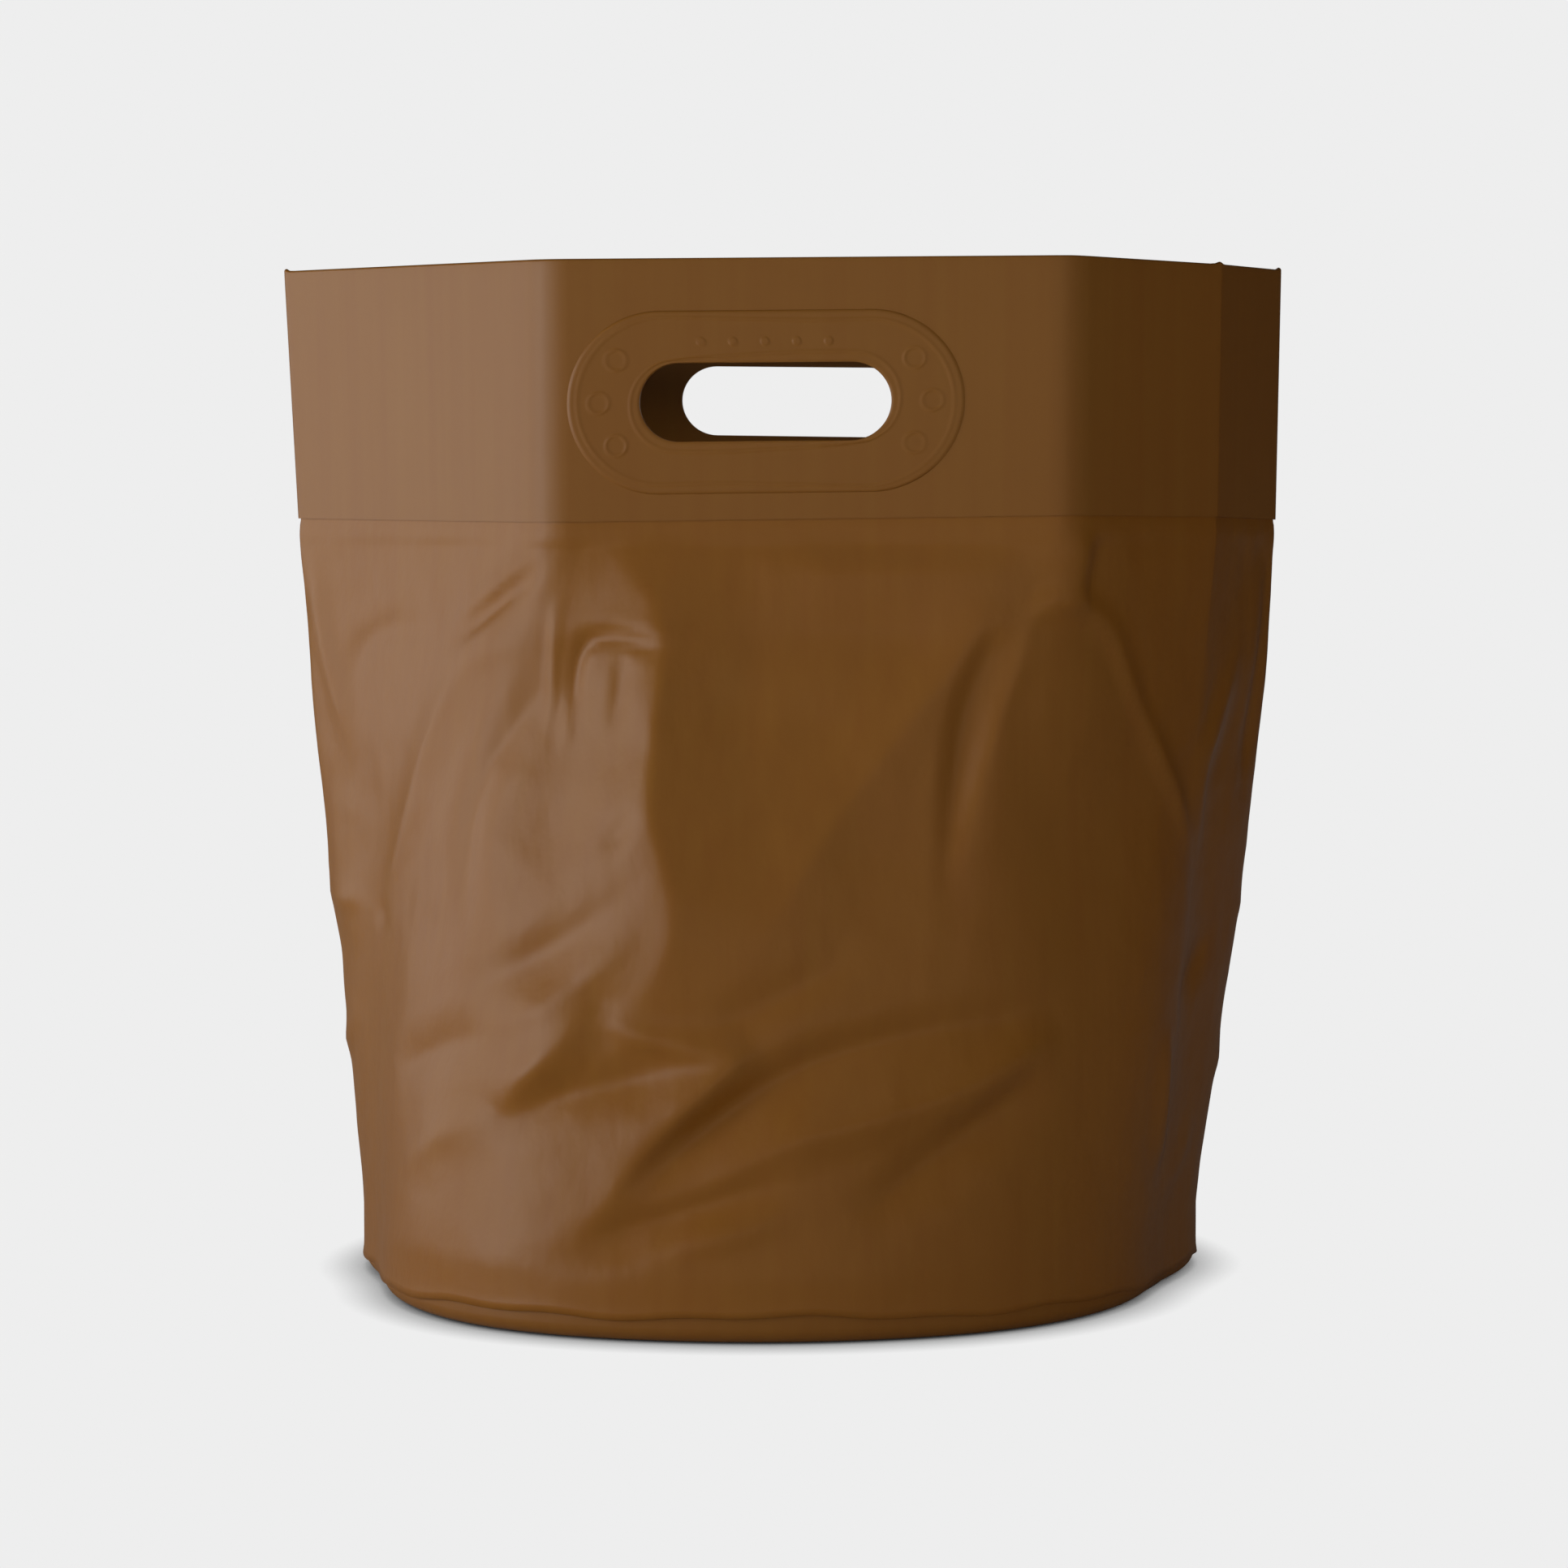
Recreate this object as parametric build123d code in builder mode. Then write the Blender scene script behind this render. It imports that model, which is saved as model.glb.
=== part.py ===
from build123d import *

import math
import os

# Film grow bag with hand holes: an empty, open-topped planting bag of tan polyethylene film.
#
# Frame: millimetres, +Z up, origin at the centre of the underside. The front hand hole faces -Y.
#
# The bag is welded together from sheets:
# - the base, a round sheet with punched drain holes and a turned-up edge,
# - the wall, one tube of film that is round at the base and eight-sided under the collar,
# - the collar, a heavier strip folded over at the rim, whose two leaves hold the top of the wall,
# - a raised oval plate round each of the collar's two hand holes.
#
# The rim is an eight-sided outline that looks the same after half a turn about Z. It is about as
# long as the base circle, because the wall is a tube of one width.

# --- Driving dimensions --------------------------------------------------------------------------

HEIGHT = 400.0

# Half of the rim's corners, in order round the front: the left corner, the soft bends either side
# of the hand hole, and the right side's front crease. A half turn makes the other four.
HALF_RIM = [(-200.0, 10.0), (-89.0, -118.0), (110.0, -138.0), (170.0, -75.0)]
CORNER_RADIUS = 8.0

BASE_RADIUS = 167.0
# Just short of 1: the arcs of a true circle merge into one edge, and a loft pairs up edges.
BASE_ROUNDNESS = 0.999

FILM_THICKNESS = 0.8
WELD_GAP = 0.05

COLLAR_HEIGHT = 100.0
COLLAR_LAP = 25.0
COLLAR_INNER_LEAF_DROP = 8.0
RIM_FOLD_RADIUS = 1.1

BASE_EDGE_HEIGHT = 26.0
BASE_EDGE_SHOWN = 10.0
BASE_BEND_RADIUS = 7.0
DRAIN_HOLE_RADIUS = 4.0
DRAIN_HOLE_RINGS = [(120.0, 8), (55.0, 4)]

HAND_HOLE_LENGTH = 95.0
HAND_HOLE_HEIGHT = 30.0
HAND_HOLE_DROP = 54.0
HAND_HOLE_X = -5.5

PLATE_LENGTH = 150.0
PLATE_HEIGHT = 70.0
PLATE_THICKNESS = 1.0
PLATE_EDGE_RADIUS = 0.5
PLATE_BEAD_MARGIN = 4.0
PLATE_BEAD_WIDTH = 1.2
PLATE_MARK_HEIGHT = 0.4
PLATE_RING_RADII = (4.5, 3.3)
PLATE_RINGS_PER_END = 3
PLATE_DOT_RADIUS = 1.6
PLATE_DOTS = 5
PLATE_DOT_SPACING = 12.0

# --- Worked-out dimensions -----------------------------------------------------------------------

RIM = HALF_RIM + [(-x, -y) for x, y in HALF_RIM]
COLLAR_BOTTOM = HEIGHT - COLLAR_HEIGHT
COLLAR_THICKNESS = 3 * FILM_THICKNESS + 2 * WELD_GAP
WALL_TOP = COLLAR_BOTTOM + COLLAR_LAP
WALL_STRAIGHT_FROM = COLLAR_BOTTOM - COLLAR_INNER_LEAF_DROP - 2.0
WALL_INSET = FILM_THICKNESS + WELD_GAP
WALL_INSIDE = WALL_INSET + FILM_THICKNESS
BASE_EDGE_RADIUS = BASE_RADIUS - FILM_THICKNESS - WELD_GAP
PLATE_MARK_ROW = (PLATE_HEIGHT - 2 * PLATE_BEAD_MARGIN + HAND_HOLE_HEIGHT) / 4


# --- Outlines ------------------------------------------------------------------------------------


def unit(vector):
    return vector / vector.length


def rim_corner(index, inset):
    """Start, middle and end of one corner's arc on the rim's outline, moved inwards by inset."""
    corner = Vector(*RIM[index])
    arriving = unit(corner - Vector(*RIM[index - 1]))
    leaving = unit(Vector(*RIM[(index + 1) % len(RIM)]) - corner)
    half_turn = math.radians(arriving.get_angle(leaving)) / 2
    inwards = unit(leaving - arriving)
    centre = corner + inwards * (CORNER_RADIUS / math.cos(half_turn))
    radius = CORNER_RADIUS - inset
    moved_corner = centre - inwards * (radius / math.cos(half_turn))
    reach = radius * math.tan(half_turn)
    return moved_corner - arriving * reach, centre - inwards * radius, moved_corner + leaving * reach


def outline(inset, roundness):
    """The bag's outline, moved inwards by inset. Roundness is 0 at the rim and 1 at the base."""

    def rounded(point):
        on_base = unit(point) * (BASE_RADIUS + WALL_INSET - inset)
        return point * (1 - roundness) + on_base * roundness

    corners = [rim_corner(index, inset) for index in range(len(RIM))]
    with BuildLine() as line:
        for (start, middle, end), (following, _, _) in zip(corners, corners[1:] + corners[:1]):
            ThreePointArc(rounded(start), rounded(middle), rounded(end))
            if roundness == 0:
                Line(end, following)
            else:
                ThreePointArc(rounded(end), rounded((end + following) / 2), rounded(following))
    return line.edges()


def ring(height, outer_inset, inner_inset, roundness=0):
    """A flat ring at this height that follows the bag's outline."""
    with BuildSketch(Plane.XY.offset(height)) as flat_ring:
        make_face(outline(outer_inset, roundness))
        make_face(outline(inner_inset, roundness), mode=Mode.SUBTRACT)
    return flat_ring.sketch


def wall_ends(inset):
    """The tapering wall's lower and upper cross-sections: the round base and the eight-sided top."""
    ends = []
    for height, roundness in ((BASE_EDGE_HEIGHT, BASE_ROUNDNESS), (WALL_STRAIGHT_FROM, 0)):
        with BuildSketch(Plane.XY.offset(height)) as section:
            make_face(outline(inset, roundness))
        ends.append(section.sketch.face())
    return ends


def hand_hole_plane():
    """The front facet of the collar at the hand hole: x along the facet, z outwards."""
    left, right = Vector(*RIM[1]), Vector(*RIM[2])
    along = unit(right - left)
    middle = left + along * ((HAND_HOLE_X - left.X) / along.X)
    origin = middle + Vector(0, 0, HEIGHT - HAND_HOLE_DROP)
    return Plane(origin=origin, x_dir=along, z_dir=along.cross(Vector(0, 0, 1)))


FRONT = hand_hole_plane()
BACK = Plane(FRONT.origin.rotate(Axis.Z, 180), x_dir=-FRONT.x_dir, z_dir=-FRONT.z_dir)

# --- Pieces --------------------------------------------------------------------------------------

with BuildPart() as base_sheet:
    with BuildSketch(Plane.XZ):
        with BuildLine():
            sheet_line = FilletPolyline(
                (0, 0),
                (BASE_EDGE_RADIUS, 0),
                (BASE_EDGE_RADIUS, BASE_EDGE_HEIGHT),
                radius=BASE_BEND_RADIUS,
            )
            offset(sheet_line, FILM_THICKNESS, side=Side.LEFT)
        make_face()
    revolve(axis=Axis.Z)
    for ring_radius, count in DRAIN_HOLE_RINGS:
        with PolarLocations(ring_radius, count):
            Hole(DRAIN_HOLE_RADIUS)

with BuildPart() as wall_film:
    loft(wall_ends(WALL_INSET), ruled=True)
    loft(wall_ends(WALL_INSIDE), ruled=True, mode=Mode.SUBTRACT)
    extrude(ring(WALL_STRAIGHT_FROM, WALL_INSET, WALL_INSIDE), amount=WALL_TOP - WALL_STRAIGHT_FROM)
    extrude(
        ring(BASE_EDGE_SHOWN, WALL_INSET, WALL_INSIDE, BASE_ROUNDNESS),
        amount=BASE_EDGE_HEIGHT - BASE_EDGE_SHOWN,
    )

with BuildPart() as collar_band:
    doubled_from = WALL_TOP + WELD_GAP
    inner_leaf_from = COLLAR_BOTTOM - COLLAR_INNER_LEAF_DROP
    extrude(ring(doubled_from, 0, COLLAR_THICKNESS), amount=HEIGHT - doubled_from)
    fillet(collar_band.faces().sort_by(Axis.Z)[-1].edges(), RIM_FOLD_RADIUS)
    extrude(ring(COLLAR_BOTTOM, 0, FILM_THICKNESS), amount=doubled_from - COLLAR_BOTTOM)
    extrude(
        ring(inner_leaf_from, COLLAR_THICKNESS - FILM_THICKNESS, COLLAR_THICKNESS),
        amount=doubled_from - inner_leaf_from,
    )
    for facet in (FRONT, BACK):
        with BuildSketch(facet):
            SlotOverall(HAND_HOLE_LENGTH, HAND_HOLE_HEIGHT)
        extrude(amount=2 * COLLAR_THICKNESS, both=True, mode=Mode.SUBTRACT)

with BuildPart() as front_handle_plate:
    with BuildSketch(FRONT):
        SlotOverall(PLATE_LENGTH, PLATE_HEIGHT)
    extrude(amount=PLATE_THICKNESS)
    fillet(front_handle_plate.faces().filter_by(FRONT).sort_by(Axis.Y)[0].edges(), PLATE_EDGE_RADIUS)
    with BuildSketch(FRONT.offset(PLATE_THICKNESS)):
        bead_length = PLATE_LENGTH - 2 * PLATE_BEAD_MARGIN
        bead_height = PLATE_HEIGHT - 2 * PLATE_BEAD_MARGIN
        SlotOverall(bead_length, bead_height)
        SlotOverall(
            bead_length - 2 * PLATE_BEAD_WIDTH,
            bead_height - 2 * PLATE_BEAD_WIDTH,
            mode=Mode.SUBTRACT,
        )
        for side in (-1, 1):
            with Locations((side * (PLATE_LENGTH - PLATE_HEIGHT) / 2, 0)):
                with PolarLocations(
                    PLATE_MARK_ROW, PLATE_RINGS_PER_END, 90 - side * 135, 90, endpoint=True
                ):
                    Circle(PLATE_RING_RADII[0])
                    Circle(PLATE_RING_RADII[1], mode=Mode.SUBTRACT)
        with Locations((0, PLATE_MARK_ROW)):
            with GridLocations(PLATE_DOT_SPACING, 1, PLATE_DOTS, 1):
                Circle(PLATE_DOT_RADIUS)
    extrude(amount=PLATE_MARK_HEIGHT)
    with BuildSketch(FRONT):
        SlotOverall(HAND_HOLE_LENGTH, HAND_HOLE_HEIGHT)
    extrude(amount=2 * PLATE_THICKNESS, mode=Mode.SUBTRACT)

with BuildPart() as back_handle_plate:
    add(front_handle_plate.part, rotation=(0, 0, 180))

# --- Files ---------------------------------------------------------------------------------------

base_sheet.part.label = "base_sheet"
wall_film.part.label = "wall_film"
collar_band.part.label = "collar_band"
front_handle_plate.part.label = "front_handle_plate"
back_handle_plate.part.label = "back_handle_plate"

os.makedirs("parts", exist_ok=True)
export_step(base_sheet.part, "parts/base_sheet.step")
export_step(wall_film.part, "parts/wall_film.step")
export_step(collar_band.part, "parts/collar_band.step")
export_step(front_handle_plate.part, "parts/front_handle_plate.step")
export_step(back_handle_plate.part, "parts/back_handle_plate.step")
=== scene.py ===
import math

import bmesh
import bpy
import numpy as np
from mathutils import Matrix, Vector, noise


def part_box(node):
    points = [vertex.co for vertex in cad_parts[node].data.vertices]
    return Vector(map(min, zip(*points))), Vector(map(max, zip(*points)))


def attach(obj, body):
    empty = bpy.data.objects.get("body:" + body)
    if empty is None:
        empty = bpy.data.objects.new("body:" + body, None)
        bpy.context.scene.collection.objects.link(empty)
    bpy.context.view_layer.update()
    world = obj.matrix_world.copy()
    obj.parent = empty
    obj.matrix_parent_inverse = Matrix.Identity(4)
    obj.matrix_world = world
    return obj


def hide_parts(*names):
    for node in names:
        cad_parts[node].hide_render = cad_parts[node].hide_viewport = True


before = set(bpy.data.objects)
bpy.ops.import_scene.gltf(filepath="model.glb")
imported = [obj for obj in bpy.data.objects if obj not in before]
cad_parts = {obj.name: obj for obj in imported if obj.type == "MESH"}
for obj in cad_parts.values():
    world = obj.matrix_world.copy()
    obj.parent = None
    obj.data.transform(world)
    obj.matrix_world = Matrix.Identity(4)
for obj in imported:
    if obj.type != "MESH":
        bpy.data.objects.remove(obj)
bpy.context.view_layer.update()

# Film grow bag: every size is in metres, in the model's frame. The front hand hole faces -Y.
#
# A place on the film is (u, z): u is the share of the way round the bag, anticlockwise seen from
# above, with 0 at the middle of the front, and z is the height. Folds use (a, z) instead, where a is
# the distance round from the middle of the front, because that is how the film lay when it was flat.

# --- Sizes -----------------------------------------------------------------------------------------

HALF_RIM = [(-0.200, 0.010), (-0.089, -0.118), (0.110, -0.138), (0.170, -0.075)]
HALF_RIM_RADII = [0.004, 0.026, 0.017, 0.004]
SOFT_RADII = [0.006, 0.085, 0.080, 0.030]  # the same corners, further down the wall
RIM_START = math.radians(-92.9)  # the first corner's direction from the front, seen from above

BASE_RADIUS = 0.167
# Each one's direction in degrees from the front, its spread in degrees, and how far out it goes.
BASE_BULGES = [
    (-140, 20, -0.003),
    (-92, 22, 0.002),
    (-73, 10, -0.004),
    (-38, 27, 0.018),
    (0, 24, 0.008),
    (32, 22, 0.008),
    (70, 13, -0.006),
    (94, 24, 0.003),
    (140, 25, 0.004),
]
RIM_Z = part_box("collar_band")[1].z
COLLAR_Z = RIM_Z - 0.100
LEAF_THICKNESS = 0.0007
WALL_THICKNESS = 0.0005
COLLAR_THICKNESS = 2 * LEAF_THICKNESS + WALL_THICKNESS + 0.0001
INNER_LEAF_DROP = 0.008
LEFT_DRAWN_IN = 0.005  # how far the collar's lower edge is in from the rim
RIGHT_DRAWN_IN = 0.0015
EAR_HEIGHT = 0.0009  # the rim stands up in a small ear at each of its sharp corners
EAR_WIDTH = 0.0025
EAR_CORNERS = [0, 3, 4, 7, 8]  # 8 is corner 0 again, from its other side
# The rim isn't quite level, nor is the collar's lower edge. This is how far each is lifted at each of
# HALF_RIM's corners, and the height above which the film starts to follow.
RIM_LIFTS = [0.0003, 0.0015, 0.0024, 0.0008]
WELD_LIFTS = [0.0008, 0.0012, 0.0034, 0.0030]
LIFTED_FROM_Z = COLLAR_Z - 0.060
NEAR_COLLAR_Z = COLLAR_Z - 0.012  # the folds start to die out here, on the way up

WALL_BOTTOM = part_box("wall_film")[0].z
BASE_EDGE_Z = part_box("base_sheet")[1].z
BASE_BEND = 0.006
BASE_COLUMNS = 360
DRAIN_RADIUS = 0.004
DRAIN_RINGS = [(0.120, 8), (0.055, 4)]

HOLE_LENGTH = 0.095
HOLE_HEIGHT = 0.030
HOLE_Z = RIM_Z - 0.055
HOLE_X = -0.0055
PLATE_LENGTH = 0.150
PLATE_HEIGHT = 0.070
PLATE_THICKNESS = 0.0007
BEAD_MARGIN = 0.004
BEAD_HEIGHT = 0.0003
MARK_HEIGHT = 0.0003
RING_RADIUS = 0.0039
LINE_WIDTH = 0.0006  # of the beads and the rings
DOT_SPACING = 0.012
DOT_RADIUS = 0.0020
DOT_FLAT_RADIUS = 0.0012
PLATE_EDGE_WIDTH = 0.0014
PLATE_LIP_WIDTH = 0.0008  # the rounded edge at the hole

WELD_BULGE = 0.0002  # the welded band just under the collar
WELD_DROP = 0.006
WELD_HALF_HEIGHT = 0.0045
WELD_GROOVE = 0.0004  # along the collar's lower edge
GROOVE_HALF_HEIGHT = 0.0015
LIP_FLARE = 0.0005  # the wall's lower edge
LIP_HEIGHT = 0.004
LIP_WAVE = 0.0008
LIP_SAG = 0.005  # the edge is lowest at the bag's sides
LIP_WAVE_FADES_OVER = 0.03
WALL_TOP = COLLAR_Z + 0.006

CREASE_RADIUS = 1.5  # in millimetres, as the folds are
CRUMPLE_HEIGHT = 0.95
# How large the bag is in the noise that makes the crumple: its radius, and each metre of its height.
CRUMPLE_RADIUS = 3.4
CRUMPLE_UP = 22
RIDGES_FINER = 1.9  # how many times finer the ridges and the wrinkles are
WRINKLES_FINER = 4.5


# --- The film's shape without folds ----------------------------------------------------------------


def rounded_outline(radii):
    """Points round the rim with its corners rounded, and how far round each is, from 0 to 1.

    They start at the middle of the first corner, and each corner's middle is at the same place
    whatever the radii are.
    """
    corners = [Vector(p) for p in HALF_RIM] + [Vector((-x, -y)) for x, y in HALF_RIM]
    points = []
    for i, (corner, radius) in enumerate(zip(corners, radii * 2)):
        before = (corners[i - 1] - corner).normalized()
        after = (corners[(i + 1) % len(corners)] - corner).normalized()
        half = before.angle(after) / 2
        centre = corner + (before + after).normalized() * (radius / math.sin(half))
        start = corner + before * (radius / math.tan(half)) - centre
        turn = math.pi - 2 * half
        points += [centre + Matrix.Rotation(turn * step / 16, 2) @ start for step in range(17)]
    points = np.roll(np.array([tuple(p) for p in points]), -8, axis=0)
    points = np.vstack([points, points[:1]])
    length = np.concatenate([[0], np.cumsum(np.linalg.norm(np.diff(points, axis=0), axis=1))])
    return points, length


RIM_OUTLINE, RIM_LENGTH = rounded_outline(HALF_RIM_RADII)
ROUND = RIM_LENGTH[-1]  # how long the rim is
RIM_PLACES = RIM_LENGTH / ROUND
CORNER_PLACES = RIM_PLACES[::17]

SOFT_OUTLINE, SOFT_LENGTH = rounded_outline(SOFT_RADII)
SOFT_PLACES = np.interp(SOFT_LENGTH, SOFT_LENGTH[::17], CORNER_PLACES)


def smooth(low, high, value):
    """0 below low, 1 above high, and eased between them."""
    share = np.clip((value - low) / (high - low), 0, 1)
    return share * share * (3 - 2 * share)


def past_first_corner(u):
    return (u - RIM_START / (2 * math.pi)) % 1.0


def outline_xy(u, points, places):
    """An outline's points at these shares of the way round the bag."""
    return np.stack([np.interp(past_first_corner(u), places, points[:, k]) for k in (0, 1)], axis=-1)


def base_xy(u):
    """The base's outline: a circle that bulges at the front left and draws in at the front right."""
    radius = BASE_RADIUS
    for direction, spread, outwards in BASE_BULGES:
        apart = (u * 360 - direction + 180) % 360 - 180
        radius = radius + outwards * np.exp(-((apart / spread) ** 2))
    angle = 2 * math.pi * u
    return np.stack([radius * np.sin(angle), -radius * np.cos(angle)], axis=-1)


def film_xy(u, z):
    """The film's outside at (u, z), with no folds: the rim's octagon blends into the base circle."""
    crisp = outline_xy(u, RIM_OUTLINE, RIM_PLACES)
    soft = outline_xy(u, SOFT_OUTLINE, SOFT_PLACES)
    softened = smooth(0.008, 0.065, COLLAR_Z - z)[..., None]
    xy = crisp * (1 - softened) + soft * softened
    drop = np.clip((RIM_Z - z) / (RIM_Z - COLLAR_Z), 0, 1)
    ends = np.clip((np.abs(xy[..., 0]) - 0.1) / 0.1, 0, 1)
    drawn_in = np.where(xy[..., 0] < 0, LEFT_DRAWN_IN, RIGHT_DRAWN_IN)
    xy[..., 0] -= np.sign(xy[..., 0]) * ends * drop * drawn_in
    straight_from = COLLAR_Z - 0.010
    roundness = np.clip((straight_from - z) / (straight_from - BASE_EDGE_Z), 0, 1)[..., None]
    return xy * (1 - roundness) + base_xy(u) * roundness


def film_point(u, z, outwards=0.0):
    """The film's point at (u, z), moved outwards along its horizontal normal."""
    xy = film_xy(u, z)
    step = 0.0008
    along = film_xy(u + step, z) - film_xy(u - step, z)
    along /= np.linalg.norm(along, axis=-1, keepdims=True)
    normal = np.stack([along[..., 1], -along[..., 0]], axis=-1)
    moved = xy + normal * np.asarray(outwards)[..., None]
    place = past_first_corner(u)
    rim_lift = np.interp(place, CORNER_PLACES, RIM_LIFTS * 2 + RIM_LIFTS[:1])
    weld_lift = np.interp(place, CORNER_PLACES, WELD_LIFTS * 2 + WELD_LIFTS[:1])
    height = z + rim_lift * smooth(LIFTED_FROM_Z, NEAR_COLLAR_Z, z)
    height = height + weld_lift * np.interp(z, [LIFTED_FROM_Z, COLLAR_Z, RIM_Z], [0, 1, 0])
    for ear in CORNER_PLACES[EAR_CORNERS]:
        narrow = np.exp(-(((place - ear) * ROUND / EAR_WIDTH) ** 2))
        height = height + EAR_HEIGHT * narrow * smooth(RIM_Z - 0.005, RIM_Z, z)
    return np.concatenate([moved, height[..., None]], axis=-1)


def round_places(spacing, packed=0.0):
    """Shares of the way round for a mesh's columns, with some at each of the rim's corners.

    The columns are packed closer together at the front, and are further apart at the back.
    """
    t = np.linspace(0, 1, round(ROUND / spacing), endpoint=False)
    even = (t - packed * np.sin(2 * math.pi * t) / (2 * math.pi)) % 1.0
    close = (RIM_PLACES[:-1:4] + RIM_START / (2 * math.pi)) % 1.0
    apart = np.abs((even[:, None] - close[None, :] + 0.5) % 1.0 - 0.5).min(axis=1)
    kept = even[apart > 0.25 * spacing / ROUND]
    return np.sort(np.concatenate([kept, close]))


# --- Mesh helpers ----------------------------------------------------------------------------------


def grid_faces(rows, cols, closed_rows=False):
    """Quads of a grid whose columns run right round."""
    r = np.arange(rows if closed_rows else rows - 1)[:, None]
    c = np.arange(cols)[None, :]
    up, right = (r + 1) % rows, (c + 1) % cols
    quads = np.stack([r * cols + c, r * cols + right, up * cols + right, up * cols + c], axis=-1)
    return quads.reshape(-1, 4)


def new_piece(name, points, faces, material):
    """A smooth-shaded mesh object with one material."""
    mesh = bpy.data.meshes.new(name)
    mesh.from_pydata(points.reshape(-1, 3).tolist(), [], [list(face) for face in faces])
    mesh.validate()
    mesh.polygons.foreach_set("use_smooth", [True] * len(mesh.polygons))
    mesh.materials.append(material)
    piece = bpy.data.objects.new(name, mesh)
    bpy.context.collection.objects.link(piece)
    return piece


def face_outwards(piece):
    """Turns the faces of a closed mesh outwards."""
    work = bmesh.new()
    work.from_mesh(piece.data)
    bmesh.ops.recalc_face_normals(work, faces=work.faces)
    work.to_mesh(piece.data)
    work.free()


def sharpen(piece, degrees):
    """Marks each edge that turns more than this as sharp."""
    work = bmesh.new()
    work.from_mesh(piece.data)
    for edge in work.edges:
        edge.smooth = edge.calc_face_angle(0) < math.radians(degrees)
    work.to_mesh(piece.data)
    work.free()


def apply_modifiers(piece):
    """Keeps the piece's mesh as its modifiers leave it."""
    evaluated = piece.evaluated_get(bpy.context.evaluated_depsgraph_get())
    mesh = bpy.data.meshes.new_from_object(evaluated)
    old = piece.data
    piece.modifiers.clear()
    piece.data = mesh
    bpy.data.meshes.remove(old)


def cut(piece, cutter):
    """Cuts the cutter's shape out of the piece, and removes the cutter."""
    modifier = piece.modifiers.new("cut", "BOOLEAN")
    modifier.operation = "DIFFERENCE"
    modifier.solver = "EXACT"
    modifier.object = cutter
    apply_modifiers(piece)
    bpy.data.objects.remove(cutter)


def stadium(length, height, count):
    """Points round a round-ended slot, anticlockwise from the right end of its lower side."""
    radius, straight = height / 2, length - height
    share = np.linspace(0, 1, count, endpoint=False)
    lengths = np.array([straight, math.pi * radius, straight, math.pi * radius])
    starts = np.concatenate([[0], np.cumsum(lengths)])
    s = share * starts[-1]
    points = np.zeros((count, 2))
    for side in (0, 1):
        sign = 1 - 2 * side
        on_line = (s >= starts[2 * side]) & (s < starts[2 * side + 1])
        points[on_line, 0] = sign * (s[on_line] - starts[2 * side] - straight / 2)
        points[on_line, 1] = -sign * radius
        on_arc = (s >= starts[2 * side + 1]) & (s < starts[2 * side + 2])
        angle = (s[on_arc] - starts[2 * side + 1]) / radius - math.pi / 2
        points[on_arc, 0] = sign * (straight / 2 + radius * np.cos(angle))
        points[on_arc, 1] = sign * radius * np.sin(angle)
    return points


# --- Materials -------------------------------------------------------------------------------------


def film_material(name, colour, roughness, crumpled):
    """Semi-gloss polyethylene film: faint streaks up the film, and a fine crumple in the surface."""
    material = bpy.data.materials.new(name)
    material.use_nodes = True
    nodes, links = material.node_tree.nodes, material.node_tree.links
    shader = nodes["Principled BSDF"]
    shader.inputs["Roughness"].default_value = roughness
    shader.inputs["Specular IOR Level"].default_value = 0.4
    coords = nodes.new("ShaderNodeTexCoord")

    def noise_texture(scale, stretch_up, detail):
        place = nodes.new("ShaderNodeMapping")
        place.inputs["Scale"].default_value = (1, 1, 1 / stretch_up)
        texture = nodes.new("ShaderNodeTexNoise")
        texture.inputs["Scale"].default_value = scale
        texture.inputs["Detail"].default_value = detail
        links.new(coords.outputs["Object"], place.inputs["Vector"])
        links.new(place.outputs[0], texture.inputs["Vector"])
        return texture.outputs["Fac"]

    streaks = noise_texture(160, 40, 3)
    blotches = noise_texture(9, 1, 3)
    crumple_map = noise_texture(55, 1.4, 4)
    both = nodes.new("ShaderNodeMath")
    links.new(streaks, both.inputs[0])
    links.new(blotches, both.inputs[1])
    tone = nodes.new("ShaderNodeMapRange")
    tone.inputs["From Min"].default_value = 0.6
    tone.inputs["From Max"].default_value = 1.4
    links.new(both.outputs[0], tone.inputs["Value"])
    mix = nodes.new("ShaderNodeMix")
    mix.data_type = "RGBA"
    red, green, blue = colour
    mix.inputs["A"].default_value = (0.96 * red, 0.91 * green, 0.88 * blue, 1)
    mix.inputs["B"].default_value = (1.04 * red, 1.07 * green, 1.10 * blue, 1)
    links.new(tone.outputs[0], mix.inputs["Factor"])
    links.new(mix.outputs["Result"], shader.inputs["Base Color"])
    bump = nodes.new("ShaderNodeBump")
    bump.inputs["Strength"].default_value = 1.0
    bump.inputs["Distance"].default_value = crumpled
    fine = nodes.new("ShaderNodeBump")
    fine.inputs["Distance"].default_value = 0.00002
    links.new(crumple_map, bump.inputs["Height"])
    links.new(streaks, fine.inputs["Height"])
    links.new(bump.outputs[0], fine.inputs["Normal"])
    links.new(fine.outputs[0], shader.inputs["Normal"])
    return material


WALL_FILM = film_material("tan film", (0.320, 0.124, 0.0155), 0.42, crumpled=0.0006)
# The base's film is a little darker than the wall's film. That is painted shade for the band of it that
# faces down under the wall's lower edge.
BASE_FILM_PAINTED_SHADE = film_material("tan film darkened as painted shade", (0.275, 0.108, 0.014), 0.5, crumpled=0.0006)
COLLAR_FILM = film_material("smooth tan film", (0.305, 0.124, 0.020), 0.42, crumpled=0.00015)


# --- Folds in the wall -----------------------------------------------------------------------------
#
# Each fold is a crease line on the film, in millimetres: (round, up, height), where round is the
# distance from the middle of the front and height is how far out the film comes there. The line runs
# downwards, or leftwards if it's level. After it come the widths of its two flanks: the one to its
# left or above it, then the one to its right or below it.

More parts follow.
